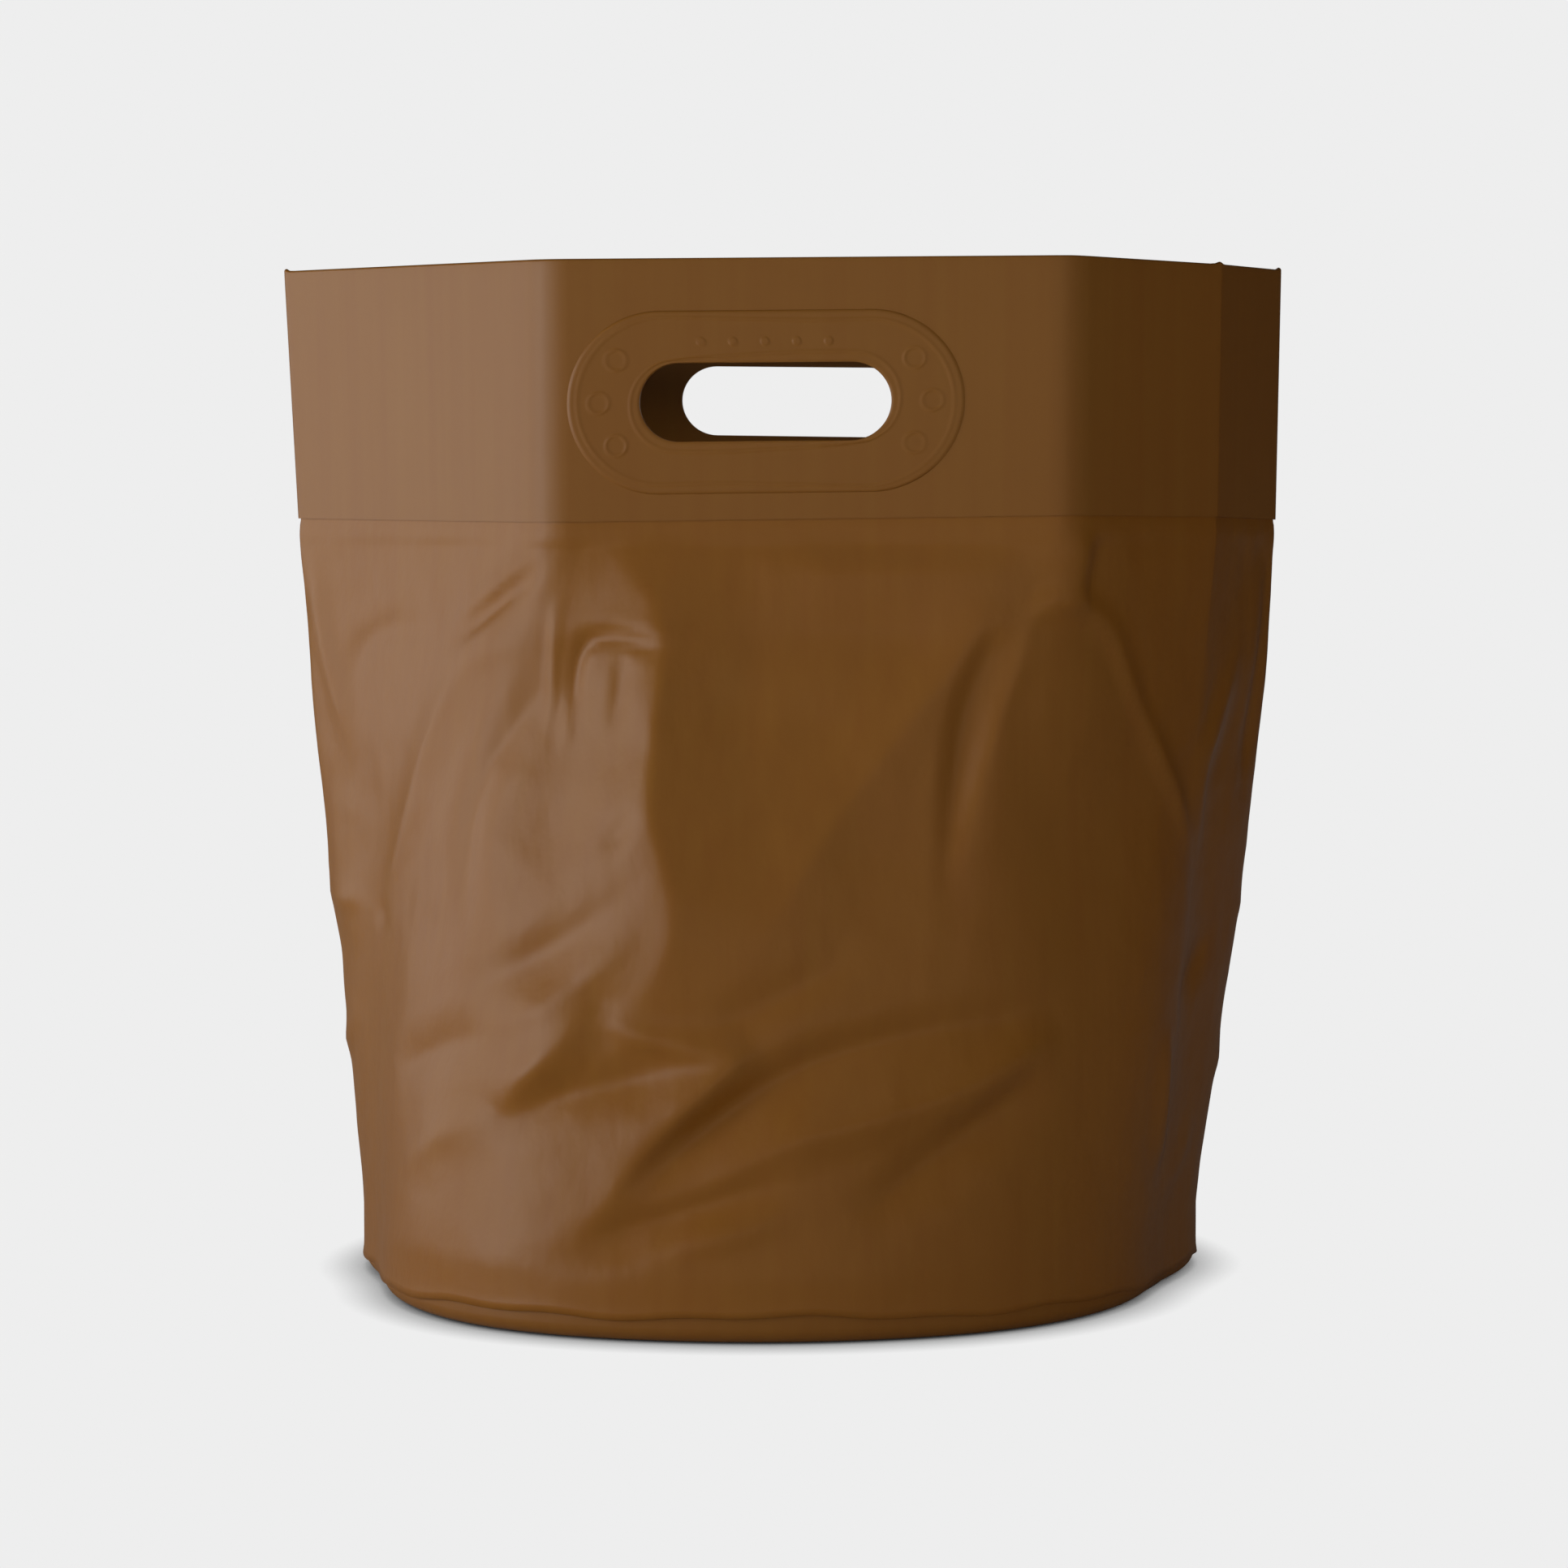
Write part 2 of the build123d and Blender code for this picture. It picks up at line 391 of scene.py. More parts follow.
LEFT_SHOULDER = [
    ([(-84, 294, 0), (-70, 281, 3), (-57, 268, 5), (-54, 252, 6.5), (-56, 236, 8), (-56, 215, 8),
      (-56, 196, 7.5), (-49, 178, 7), (-43, 160, 6.5), (-45, 142, 5.5), (-55, 124, 3),
      (-68, 112, 0)], 42, 38),
    ([(-48, 256, 0), (-57, 261, 0.8), (-72, 264, 0.8), (-88, 264, 0.8), (-97, 257, 0.5)], 8, 4),
    ([(-50, 254, 0), (-60, 256, -1.6), (-74, 259, -2), (-85, 258, -2.2), (-90, 251, -2.2),
      (-91, 241, -1.5), (-91, 228, 0)], 3, 4),
    ([(-98, 272, 0), (-100, 256, 1.6), (-101, 240, 1.2), (-102, 224, 0)], 4, 3.5),
    ([(-93, 240, 0), (-93, 228, 1), (-94, 213, 0)], 4, 4),
    ([(-71, 255, 0), (-71, 240, -1.8), (-72, 223, 0)], 4, 6),
    ([(-60, 196, 0), (-65, 188, -1.6), (-74, 180, 0)], 6, 7),
    ([(-104, 284, 0), (-120, 275, -2.2), (-137, 265, -2.2), (-158, 254, 0)], 6, 5),
    ([(-117, 285, 0), (-136, 273, 1.2), (-162, 262, 0)], 8, 4),
    ([(-102, 243, 0), (-116, 228, -2.2), (-129, 210, -3), (-136, 191, -3), (-136, 168, -2.2),
      (-132, 146, 0)], 12, 15),
    ([(-104, 254, 0), (-130, 256, 1.8), (-150, 244, 2.6), (-166, 220, 2.6), (-180, 190, 2.4),
      (-194, 163, 2), (-206, 146, 0)], 22, 18),
    ([(-165, 258, 0), (-200, 260, -1), (-228, 253, -1.3), (-238, 236, 0)], 8, 8),
]

RIGHT_SHOULDER = [
    ([(102, 299, 0), (102, 288, 1.4), (101, 275, 1.4), (98, 262, 0)], 10, 9),
    ([(113, 299, 0), (113, 288, -1.8), (111, 275, -1.8), (107, 263, 0)], 7, 16),
    ([(84, 268, 0), (68, 262, 2.5), (52, 246, 3.5), (36, 225, 3.5), (18, 200, 3), (2, 175, 2.5),
      (-10, 150, 1.5), (-18, 130, 0)], 26, 26),
    ([(73, 264, 0), (66, 252, -3), (60, 236, -4), (57, 215, -3.5), (56, 190, -2),
      (56, 160, 0)], 7, 14),
    ([(88, 268, 0), (82, 256, 2), (77, 240, 2.4), (71, 222, 2.2), (65, 195, 1.6), (60, 160, 0)], 8, 42),
    ([(130, 246, 0), (119, 262, 2), (103, 270, 2.6), (88, 269, 2.6), (79, 263, 0)], 8, 6),
    ([(119, 263, 0), (128, 248, 2), (140, 230, 2.5), (155, 210, 2.5), (170, 192, 2),
      (182, 174, 0)], 4, 9),
]

UNDER_COLLAR = [
    ([(84, 282, 0), (50, 281, 2.4), (10, 281, 2.4), (-30, 283, 0)], 12, 30),
    ([(62, 257, 0), (35, 260, -1.5), (0, 261, -1.5), (-34, 258, 0)], 16, 22),
]

LOWER_BUCKLES = [
    ([(-58, 170, 0), (-80, 150, -2.4), (-105, 136, -2.6), (-130, 123, 0)], 13, 14),
    ([(-56, 152, 0), (-75, 132, 2.4), (-100, 116, 2.4), (-126, 105, 0)], 14, 12),
    ([(24, 142, 0), (-8, 126, -2.4), (-36, 112, 0)], 12, 10),
    ([(-70, 125, 0), (-77, 116, 4), (-89, 102, 5), (-100, 91, 3.5), (-108, 81, 0)], 22, 13),
    ([(-20, 105, 0), (-48, 98, -3), (-72, 92, -4), (-92, 85, -3), (-109, 77, 0)], 12, 14),
    ([(-16, 106, 0), (-36, 108, 2.5), (-56, 112, 2.5), (-71, 121, 0)], 9, 6),
    ([(-12, 110, 0), (-22, 100, 4.5), (-33, 88, 6.5), (-43, 77, 6), (-53, 66, 4), (-62, 52, 2),
      (-72, 36, 0)], 24, 11),
    ([(114, 125, 0), (80, 119, -2.5), (45, 114, -3.5), (15, 106, -5), (-5, 97, -6), (-20, 86, -6.5),
      (-36, 75, -5), (-48, 64, -2), (-55, 54, 0)], 12, 20),
    ([(104, 112, 0), (86, 102, 3), (60, 90, 3.8), (30, 82, 3.8), (5, 76, 3), (-18, 66, 1.5),
      (-34, 54, 0)], 14, 14),
    ([(98, 98, 0), (84, 88, -3.5), (64, 74, -4.5), (44, 61, -4), (26, 46, 0)], 11, 22),
    ([(4, 62, 0), (-18, 54, -3), (-40, 46, -4), (-60, 40, -2.5), (-72, 35, 0)], 9, 11),
    ([(8, 50, 0), (-22, 40, 2.5), (-52, 30, 0)], 10, 10),
    ([(-30, 44, 0), (-50, 35, -1.5), (-70, 28, -2.5), (-90, 22, 0)], 9, 9),
    ([(-90, 116, 0), (-125, 108, -2.4), (-155, 98, -2.4), (-180, 89, 0)], 14, 16),
    ([(-100, 84, 0), (-135, 70, 2), (-170, 52, 0)], 18, 18),
    ([(172, 110, 0), (170, 90, 3), (174, 70, 3.5), (182, 48, 0)], 12, 14),
]

SIDE_FOLDS = [
    ([(-262, 290, 0), (-258, 262, 2), (-246, 232, 2.5), (-232, 205, 0)], 12, 10),
    ([(-270, 286, 0), (-276, 255, -2), (-280, 222, -2.5), (-278, 190, 0)], 10, 12),
    ([(-225, 152, 0), (-250, 148, 2), (-278, 152, 0)], 10, 6),
    ([(-300, 262, 0), (-318, 236, 3), (-330, 205, 3), (-336, 172, 0)], 12, 16),
    ([(-238, 105, 0), (-262, 92, 2), (-292, 84, 0)], 12, 8),
    ([(-300, 148, 0), (-322, 128, -3), (-350, 112, 0)], 14, 14),
    ([(-292, 68, 0), (-318, 52, 2), (-345, 46, 0)], 12, 9),
]

# Broad hollows and swellings: the middle's round and up, its reach each way, and how far out it goes.
SWELLINGS = [
    (-95, 225, 42, 80, -5),
    (108, 200, 50, 95, -4.5),
    (160, 125, 50, 100, 4),
    (-262, 145, 42, 110, 1.8),
    (-262, 126, 42, 22, -1.6),
    (262, 170, 80, 130, 3.5),
    (262, 252, 60, 45, 2),
    (-34, 165, 72, 75, 5),
    (10, 122, 70, 80, 2.5),
    (112, 232, 34, 50, 2.5),
    (-206, 147, 12, 8, -1),
    (-262, 235, 36, 60, 2.5),
]


def shifted(folds, onwards, rng, vary=0.0):
    """The same folds further round the bag, with each point moved a little and each height changed."""
    moved = []
    for line, first, second in folds:
        strength = 1 + vary * rng.uniform(-0.5, 0.2)
        jitter = rng.normal(0, 8 * vary, (len(line), 2))
        points = []
        for (x, z, height), (dx, dz) in zip(line, jitter):
            points.append((x + onwards + dx, min(z + dz, 290), height * strength))
        moved.append((points, first, second))
    return moved


def eased_line(points):
    """The crease line with its corners cut twice, so that it curves."""
    line = np.array(points, float)
    for _ in range(2):
        quarter = line[:-1] * 0.75 + line[1:] * 0.25
        last_quarter = line[:-1] * 0.25 + line[1:] * 0.75
        middle = np.stack([quarter, last_quarter], axis=1).reshape(-1, 3)
        line = np.vstack([line[:1], middle, line[-1:]])
    return line


def fold_height(places, points, first, second):
    """How far out one fold moves each place, in millimetres. Places are (round, up), in millimetres."""
    line = eased_line(points)
    whole = ROUND * 1000
    around = (places[:, 0] - line[0, 0] + whole / 2) % whole - whole / 2 + line[0, 0]
    flat = np.stack([around, places[:, 1]], axis=-1)
    reach = max(first, second) * 1.5
    low, high = line[:, :2].min(axis=0) - reach, line[:, :2].max(axis=0) + reach
    near = np.flatnonzero(((flat > low) & (flat < high)).all(axis=1))
    at = flat[near][:, None, :]
    start, run = line[:-1, :2], np.diff(line[:, :2], axis=0)
    share = (((at - start) * run).sum(-1) / (run**2).sum(-1)).clip(0, 1)
    offset = at - (start + share[..., None] * run)
    distance = np.linalg.norm(offset, axis=-1)
    closest = distance.argmin(axis=1)
    rows = np.arange(len(near))
    run, share = run[closest], share[rows, closest]
    height = line[closest, 2] * (1 - share) + line[closest + 1, 2] * share
    offset, distance = offset[rows, closest], distance[rows, closest]
    before = offset[:, 0] * run[:, 1] - offset[:, 1] * run[:, 0] > 0
    across = np.sqrt(distance**2 + CREASE_RADIUS**2) - CREASE_RADIUS
    profile = np.clip(1 - across / np.where(before, first, second), 0, 1) ** 1.6
    moved = np.zeros(len(places))
    moved[near] = height * profile
    return moved


def swelling_height(places, middle, up, reach, reach_up, height):
    """How far out one swelling moves each place, in millimetres."""
    whole = ROUND * 1000
    around = (places[:, 0] - middle + whole / 2) % whole - whole / 2
    inside = 1 - (around / reach) ** 2 - ((places[:, 1] - up) / reach_up) ** 2
    return height * np.clip(inside, 0, 1) ** 2


def crumple(u, z, rng):
    """Small ridges all over, as on film that has been folded up: about -1 to 1."""
    away = Vector(rng.uniform(-50, 50, 3))
    height = np.empty(u.shape)
    for place in np.ndindex(u.shape):
        angle = 2 * math.pi * u[place]
        across, back = math.sin(angle) * CRUMPLE_RADIUS, -math.cos(angle) * CRUMPLE_RADIUS
        at = Vector((across, back, z[place] * CRUMPLE_UP)) + away
        ridges = 0.5 - abs(noise.noise(at * RIDGES_FINER))
        wrinkles = noise.noise(at * WRINKLES_FINER)
        height[place] = noise.noise(at) + 0.6 * ridges + 0.12 * wrinkles - 0.2
    return height


def wall_outwards(u, z):
    """How far the folds move the wall outwards at (u, z)."""
    rng = np.random.default_rng(7)
    half = ROUND * 500
    front = LEFT_SHOULDER + RIGHT_SHOULDER + UNDER_COLLAR + LOWER_BUCKLES
    folds = front + shifted(front, half, rng, 0.8)
    folds += SIDE_FOLDS + shifted(SIDE_FOLDS, half, rng, 0.8)
    places = np.stack([u.ravel() * ROUND * 1000, z.ravel() * 1000], axis=-1)
    moved = sum(fold_height(places, *fold) for fold in folds)
    moved = moved + sum(swelling_height(places, *swelling) for swelling in SWELLINGS)
    moved = moved.reshape(u.shape) + CRUMPLE_HEIGHT * crumple(u, z, rng)
    free = smooth(BASE_EDGE_Z - 0.008, BASE_EDGE_Z + 0.012, z)
    free = free * (1 - smooth(NEAR_COLLAR_Z, COLLAR_Z - 0.003, z))
    weld = np.clip(1 - ((z - COLLAR_Z + WELD_DROP) / WELD_HALF_HEIGHT) ** 2, 0, 1) ** 2
    lip = 1 - smooth(WALL_BOTTOM, WALL_BOTTOM + LIP_HEIGHT, z)
    groove = np.clip(1 - ((z - COLLAR_Z) / GROOVE_HALF_HEIGHT) ** 2, 0, 1)
    return 0.001 * moved * free + WELD_BULGE * weld - WELD_GROOVE * groove + LIP_FLARE * lip


# --- Wall ------------------------------------------------------------------------------------------


def make_wall():
    """The tube of film, from its loose lower edge to just inside the collar."""
    u = round_places(0.0026, packed=0.25)
    coarse = np.linspace(WALL_BOTTOM, NEAR_COLLAR_Z, 98)
    fine = np.linspace(NEAR_COLLAR_Z, WALL_TOP, 14)
    z = np.concatenate([coarse, fine[1:]])
    grid_u, grid_z = np.meshgrid(u, z)
    outwards = wall_outwards(grid_u, grid_z) - LEAF_THICKNESS
    wave = LIP_WAVE * (np.sin(2 * math.pi * 9 * grid_u + 1.3) + 0.7 * np.sin(2 * math.pi * 23 * grid_u))
    wave = wave - LIP_SAG * np.sin(2 * math.pi * (grid_u + 0.01)) ** 2
    grid_z = grid_z + wave * (1 - smooth(WALL_BOTTOM, WALL_BOTTOM + LIP_WAVE_FADES_OVER, grid_z))
    points = film_point(grid_u, grid_z, outwards)
    piece = new_piece("wall_film_visual", points, grid_faces(*grid_u.shape), WALL_FILM)
    thick = piece.modifiers.new("thickness", "SOLIDIFY")
    thick.thickness = WALL_THICKNESS
    thick.offset = -1
    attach(piece, "root")
    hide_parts("wall_film")
    return piece


# --- Collar ----------------------------------------------------------------------------------------


def collar_profile():
    """(inset, z) round the collar's section: up the outside, over the rim and down the inside."""
    fold = COLLAR_THICKNESS / 2
    outer_z = np.linspace(COLLAR_Z, RIM_Z - fold, 18)
    inner_leaf_z = COLLAR_Z - INNER_LEAF_DROP
    inner_z = np.linspace(RIM_Z - fold, inner_leaf_z, 18)
    turns = np.linspace(0, math.pi, 9)[1:-1]
    over = [(fold - fold * math.cos(t), RIM_Z - fold + fold * math.sin(t)) for t in turns]
    gap_out, gap_in = LEAF_THICKNESS, COLLAR_THICKNESS - LEAF_THICKNESS
    gap_top = RIM_Z - fold
    return (
        [(0.0, h) for h in outer_z]
        + over
        + [(COLLAR_THICKNESS, h) for h in inner_z]
        + [(gap_in, inner_leaf_z), (gap_in, COLLAR_Z), (gap_in, gap_top)]
        + [(gap_out, gap_top), (gap_out, COLLAR_Z)]
    )


def hole_place():
    """The u of the middle of the front hand hole."""
    u = np.linspace(-0.2, 0.2, 4001)
    return float(u[np.argmin(np.abs(outline_xy(u, RIM_OUTLINE, RIM_PLACES)[:, 0] - HOLE_X))])


HOLE_U = hole_place()


def make_hole_cutter(turn):
    """A stadium prism through the collar at the front hand hole, or half a turn on at the back."""
    outline = stadium(HOLE_LENGTH, HOLE_HEIGHT, 128)
    rings = []
    for outwards in (-0.02, 0.02):
        u = HOLE_U + turn + outline[:, 0] / ROUND
        rings.append(film_point(u, HOLE_Z + outline[:, 1], np.full(u.shape, outwards)))
    points = np.concatenate(rings)
    count = len(outline)
    sides = grid_faces(2, count).tolist()
    ends = [list(range(count))[::-1], list(range(count, 2 * count))]
    mesh = bpy.data.meshes.new("hole_cutter")
    mesh.from_pydata(points.tolist(), [], sides + ends)
    cutter = bpy.data.objects.new("hole_cutter", mesh)
    bpy.context.collection.objects.link(cutter)
    face_outwards(cutter)
    return cutter


def make_collar():
    """The strip folded over at the rim, with its two hand holes punched through both leaves."""
    u = round_places(0.0030)
    profile = np.array(collar_profile())
    grid_u = np.broadcast_to(u, (len(profile), len(u)))
    grid_z = np.broadcast_to(profile[:, 1:], grid_u.shape)
    inset = np.broadcast_to(profile[:, :1], grid_u.shape)
    points = film_point(grid_u, grid_z, -inset)
    piece = new_piece("collar_band_visual", points, grid_faces(*grid_u.shape, True), COLLAR_FILM)
    face_outwards(piece)
    for turn in (0, 0.5):
        cut(piece, make_hole_cutter(turn))
    sharpen(piece, 40)
    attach(piece, "root")
    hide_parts("collar_band")
    return piece


# --- Plates ----------------------------------------------------------------------------------------


def mark_places():
    """Where the plate's rings and dots are: three rings at each end, and a row of dots."""
    row = (PLATE_HEIGHT - 2 * BEAD_MARGIN + HOLE_HEIGHT) / 4
    end = (PLATE_LENGTH - PLATE_HEIGHT) / 2
    angles = np.radians([-45, 0, 45])
    right = [(end + row * math.cos(t), row * math.sin(t)) for t in angles]
    left = [(-x, y) for x, y in right]
    dots = [(DOT_SPACING * step, row) for step in (-2, -1, 0, 1, 2)]
    return right + left, dots


def plate_rise(flat, from_hole, from_edge):
    """How far each point of the plate's face stands out from the collar."""
    rise = PLATE_THICKNESS * (1 - np.clip(1 - from_edge / PLATE_EDGE_WIDTH, 0, 1) ** 2)
    rise = rise * np.clip(0.4 + 0.6 * from_hole / PLATE_LIP_WIDTH, 0, 1)
    for distance in (from_edge, from_hole):
        rise = rise + BEAD_HEIGHT * np.exp(-(((distance - BEAD_MARGIN) / LINE_WIDTH) ** 2))
    rings, dots = mark_places()
    for x, y in rings:
        distance = np.hypot(flat[..., 0] - x, flat[..., 1] - y)
        rise = rise + MARK_HEIGHT * np.exp(-(((distance - RING_RADIUS) / LINE_WIDTH) ** 2))
    for x, y in dots:
        distance = np.hypot(flat[..., 0] - x, flat[..., 1] - y)
        rise = rise + MARK_HEIGHT * smooth(-DOT_RADIUS, -DOT_FLAT_RADIUS, -distance)
    return rise


def make_plate(name, node, turn):
    """The oval plate round a hand hole, bent to the collar."""
    count, rows = 900, 44
    inner = stadium(HOLE_LENGTH, HOLE_HEIGHT, count)
    outer = stadium(PLATE_LENGTH, PLATE_HEIGHT, count)
    share = np.linspace(0, 1, rows)[:, None, None]
    flat = inner * (1 - share) + outer * share
    span = np.linalg.norm(outer - inner, axis=1)
    rise = plate_rise(flat, share[..., 0] * span, (1 - share[..., 0]) * span)
    u = HOLE_U + turn + flat[..., 0] / ROUND
    z = HOLE_Z + flat[..., 1]
    top = film_point(u, z, rise)
    under = film_point(u[[-1, 0]], z[[-1, 0]], np.full((2, count), -0.0001))
    points = np.concatenate([top, under])
    piece = new_piece(name, points, grid_faces(rows + 2, count, True), COLLAR_FILM)
    face_outwards(piece)
    sharpen(piece, 50)
    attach(piece, "root")
    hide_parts(node)
    return piece


# --- Base ------------------------------------------------------------------------------------------


def make_drain_cutter():
    """Upright rods, one through each drain hole."""
    work = bmesh.new()
    for ring_radius, count in DRAIN_RINGS:
        for step in range(count):
            # Half a column on, so that no corner of a rod falls on one of the base's edges.
            turn = Matrix.Rotation(2 * math.pi * (step / count + 0.5 / BASE_COLUMNS), 4, "Z")
            bmesh.ops.create_cone(
                work,
                cap_ends=True,
                segments=32,
                radius1=DRAIN_RADIUS,
                radius2=DRAIN_RADIUS,
                depth=0.01,
                matrix=turn @ Matrix.Translation((ring_radius, 0, 0)),
            )
    mesh = bpy.data.meshes.new("drain_cutter")
    work.to_mesh(mesh)
    work.free()
    cutter = bpy.data.objects.new("drain_cutter", mesh)
    bpy.context.collection.objects.link(cutter)
    return cutter


def make_base():
    """The round sheet with its turned-up edge, and its punched drain holes."""
    outer = BASE_RADIUS - LEAF_THICKNESS - WALL_THICKNESS - 0.0003
    inner = outer - BASE_BEND
    flat = np.linspace(0.004, inner, 40)
    turns = np.linspace(0, math.pi / 2, 12)[1:]
    bend = [(inner + BASE_BEND * math.sin(t), BASE_BEND * (1 - math.cos(t))) for t in turns]
    upright = [(outer - 0.04 * (z - BASE_BEND), z) for z in np.linspace(BASE_BEND, BASE_EDGE_Z, 8)[1:]]
    profile = np.array([(r, 0.0) for r in flat] + bend + upright)
    places = np.linspace(0, 1, BASE_COLUMNS, endpoint=False)
    edge = base_xy(places) / BASE_RADIUS
    x, y = (profile[:, :1] * edge[:, k] for k in (0, 1))
    z = np.broadcast_to(profile[:, 1:], x.shape)
    points = np.stack([x, y, z], axis=-1)
    faces = grid_faces(*x.shape).tolist() + [list(range(len(places)))[::-1]]
    # Its film is darkened as painted shade.
    piece = new_piece("base_sheet_visual", points, faces, BASE_FILM_PAINTED_SHADE)
    thick = piece.modifiers.new("thickness", "SOLIDIFY")
    thick.thickness = WALL_THICKNESS
    thick.offset = -1
    cut(piece, make_drain_cutter())
    sharpen(piece, 40)
    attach(piece, "root")
    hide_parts("base_sheet")
    return piece


make_wall()
make_collar()
make_plate("front_handle_plate_visual", "front_handle_plate", 0.0)
make_plate("back_handle_plate_visual", "back_handle_plate", 0.5)
make_base()


# --- Camera, lights and floor ----------------------------------------------------------------------

CAMERA_DISTANCE = 1.96
EYE_HEIGHT = 0.348
LOOK_DOWN = math.radians(4.48)
BAG_LEFT_OF_CENTRE = 0.0016


def make_camera():
    """The photo's viewpoint: a long lens about two metres away, a little above the bag's middle."""
    data = bpy.data.cameras.new("camera")
    data.sensor_width = 36
    data.lens = 112
    camera = bpy.data.objects.new("camera", data)
    camera.location = (BAG_LEFT_OF_CENTRE, -CAMERA_DISTANCE, EYE_HEIGHT)
    camera.rotation_euler = (math.pi / 2 - LOOK_DOWN, 0, 0)
    bpy.context.collection.objects.link(camera)
    bpy.context.scene.camera = camera


BACKDROP = 0.855  # how bright the backdrop and floor are to the camera
FLOOR_GREY = 0.63
PLAIN_FLOOR_RADIUS = BASE_RADIUS - 0.010  # within this the floor is plainly lit, under the bag
CONTACT_SHADE_REACH = 0.02
# How bright the room is, from in front of the bag at 0 to behind it at 1.
ROOM_GLOW = [(0.0, 0.46), (0.25, 0.14), (0.5, 0.01), (0.94, 0.01), (0.985, 0.9)]
# And how much of that is left, from straight down at 0 to straight up at 1.
GLOW_LEFT = [(0.52, 1.0), (0.70, 0.08)]


def ramp_node(nodes, stops):
    """A colour ramp of greys."""
    ramp = nodes.new("ShaderNodeValToRGB")
    elements = ramp.color_ramp.elements
    while len(elements) < len(stops):
        elements.new(0.5)
    for element, (place, grey) in zip(elements, stops):
        element.position = place
        element.color = (grey, grey, grey, 1)
    return ramp


def area_light(name, azimuth, distance, height, width, tall, power, colour=(1, 1, 1)):
    """A soft box that faces the bag. Azimuth 0 is in front of the bag and negative is to the left."""
    data = bpy.data.lights.new(name, "AREA")
    data.shape = "RECTANGLE"
    data.size, data.size_y = width, tall
    data.energy, data.color = power, colour
    light = bpy.data.objects.new(name, data)
    angle = math.radians(azimuth)
    light.location = (distance * math.sin(angle), -distance * math.cos(angle), height)
    aim = Vector((0, 0, 0.2)) - light.location
    light.rotation_euler = aim.to_track_quat("-Z", "Y").to_euler()
    bpy.context.collection.objects.link(light)
    return light


def overhead_light():
    """A narrow lamp straight above the bag, which lights only its inside."""
    data = bpy.data.lights.new("overhead", "SPOT")
    data.energy = 70
    data.spot_size, data.spot_blend = math.radians(7), 0.8
    data.shadow_soft_size = 0.03
    light = bpy.data.objects.new("overhead", data)
    light.location = (0, 0, 2.4)
    bpy.context.collection.objects.link(light)


def make_world():
    """A pale studio: 238-grey to the camera. The film mirrors a wide dim front and a bright back."""
    world = bpy.data.worlds.new("studio")
    bpy.context.scene.world = world
    world.use_nodes = True
    nodes, links = world.node_tree.nodes, world.node_tree.links
    lit = nodes["Background"]
    seen = nodes.new("ShaderNodeBackground")
    seen.inputs["Color"].default_value = (BACKDROP, BACKDROP, BACKDROP, 1)
    path = nodes.new("ShaderNodeLightPath")
    mix = nodes.new("ShaderNodeMixShader")
    coords = nodes.new("ShaderNodeTexCoord")
    split = nodes.new("ShaderNodeSeparateXYZ")
    place = nodes.new("ShaderNodeMapRange")
    place.inputs["From Min"].default_value = -1
    links.new(coords.outputs["Generated"], split.inputs[0])
    links.new(split.outputs["Y"], place.inputs["Value"])
    ramp = ramp_node(nodes, ROOM_GLOW)
    links.new(place.outputs[0], ramp.inputs["Fac"])
    height = nodes.new("ShaderNodeMapRange")
    height.inputs["From Min"].default_value = -1
    links.new(split.outputs["Z"], height.inputs["Value"])
    left = ramp_node(nodes, GLOW_LEFT)
    links.new(height.outputs[0], left.inputs["Fac"])
    links.new(ramp.outputs[0], lit.inputs["Color"])
    links.new(left.outputs[0], lit.inputs["Strength"])
    links.new(path.outputs["Is Camera Ray"], mix.inputs["Fac"])
    links.new(lit.outputs[0], mix.inputs[1])
    links.new(seen.outputs[0], mix.inputs[2])
    links.new(mix.outputs[0], nodes["World Output"].inputs["Surface"])


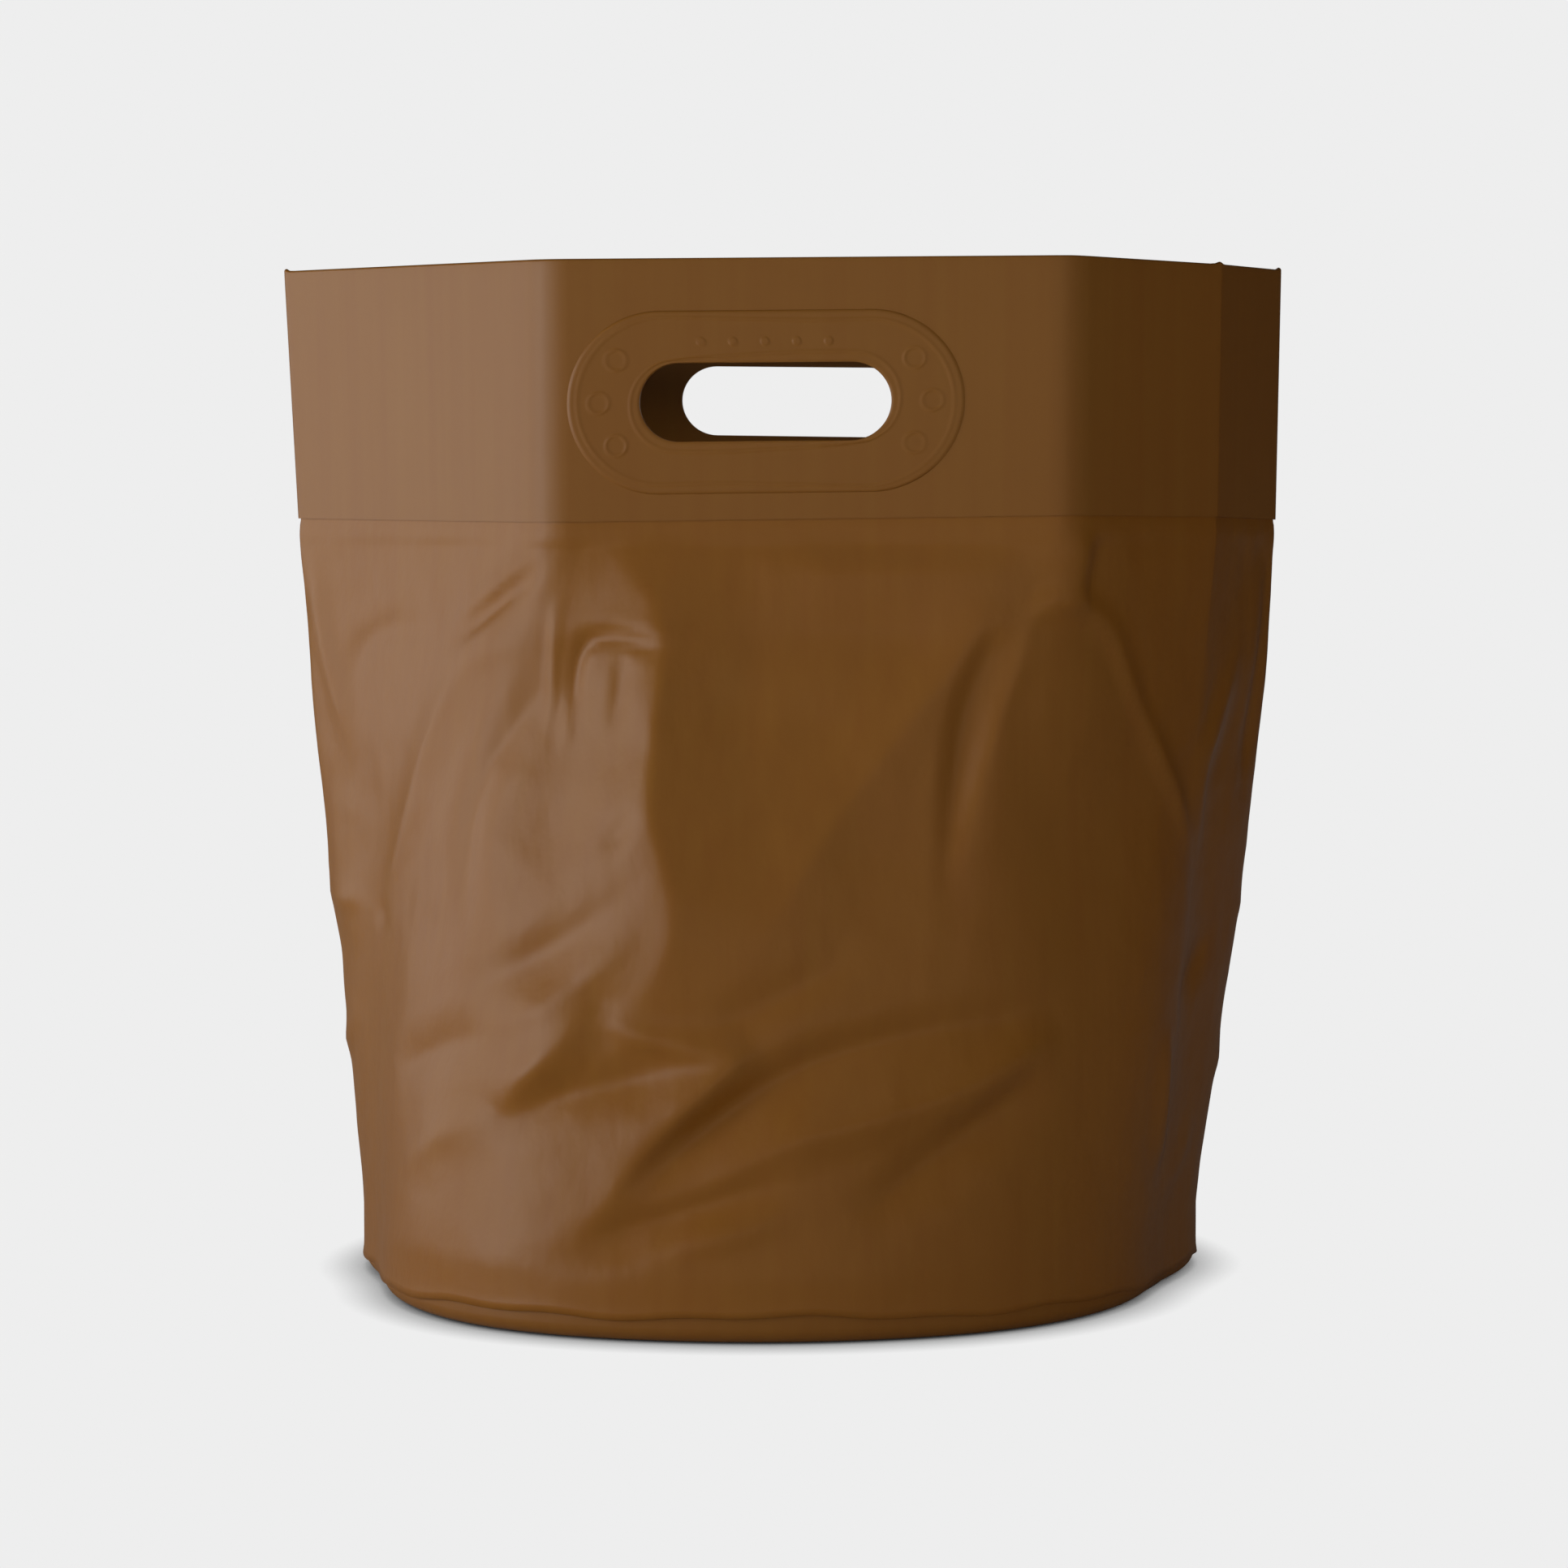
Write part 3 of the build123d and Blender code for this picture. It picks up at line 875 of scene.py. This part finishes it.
def make_floor():
    """A pale floor that is 238-grey to the camera, but is plainly lit where it's under the bag."""
    bpy.ops.mesh.primitive_plane_add(size=12, location=(0, 0, -0.0004))
    floor = bpy.context.object
    floor.name = "floor"
    material = bpy.data.materials.new("pale floor")
    material.use_nodes = True
    nodes, links = material.node_tree.nodes, material.node_tree.links
    shader = nodes["Principled BSDF"]
    shader.inputs["Base Color"].default_value = (FLOOR_GREY, FLOOR_GREY, FLOOR_GREY, 1)
    shader.inputs["Roughness"].default_value = 0.9
    shade = nodes.new("ShaderNodeAmbientOcclusion")
    shade.inputs["Distance"].default_value = CONTACT_SHADE_REACH
    shade.samples = 8
    seen = nodes.new("ShaderNodeEmission")
    seen.inputs["Strength"].default_value = BACKDROP
    path = nodes.new("ShaderNodeLightPath")
    coords = nodes.new("ShaderNodeTexCoord")
    away = nodes.new("ShaderNodeVectorMath")
    away.operation = "LENGTH"
    outside = nodes.new("ShaderNodeMath")
    outside.operation = "GREATER_THAN"
    outside.inputs[1].default_value = PLAIN_FLOOR_RADIUS
    plain = nodes.new("ShaderNodeMath")
    plain.operation = "MULTIPLY"
    mix = nodes.new("ShaderNodeMixShader")
    links.new(shade.outputs["Color"], seen.inputs["Color"])
    links.new(coords.outputs["Object"], away.inputs[0])
    links.new(away.outputs["Value"], outside.inputs[0])
    links.new(outside.outputs[0], plain.inputs[0])
    links.new(path.outputs["Is Camera Ray"], plain.inputs[1])
    links.new(plain.outputs[0], mix.inputs["Fac"])
    links.new(shader.outputs[0], mix.inputs[1])
    links.new(seen.outputs[0], mix.inputs[2])
    links.new(mix.outputs[0], nodes["Material Output"].inputs["Surface"])
    floor.data.materials.append(material)


make_camera()
make_world()
make_floor()
area_light("key", -83, 1.5, 0.33, 2.8, 1.0, 15)
area_light("window", -66, 1.6, 0.35, 0.5, 1.2, 4)
area_light("top", 5, 1.8, 1.9, 1.2, 1.0, 1.5)
front = area_light("front", 8, 2.3, 0.52, 1.4, 0.2, 7.2)
back = area_light("back", 170, 2.0, 0.5, 1.4, 0.8, 8)
right = area_light("right", 72, 1.6, 0.12, 0.8, 0.4, 0.9, (1, 0.6, 0.25))
for fill in (front, back, right):
    fill.visible_glossy = False  # it lights the film without showing in it
overhead_light()
bpy.context.scene.view_settings.view_transform = "Standard"
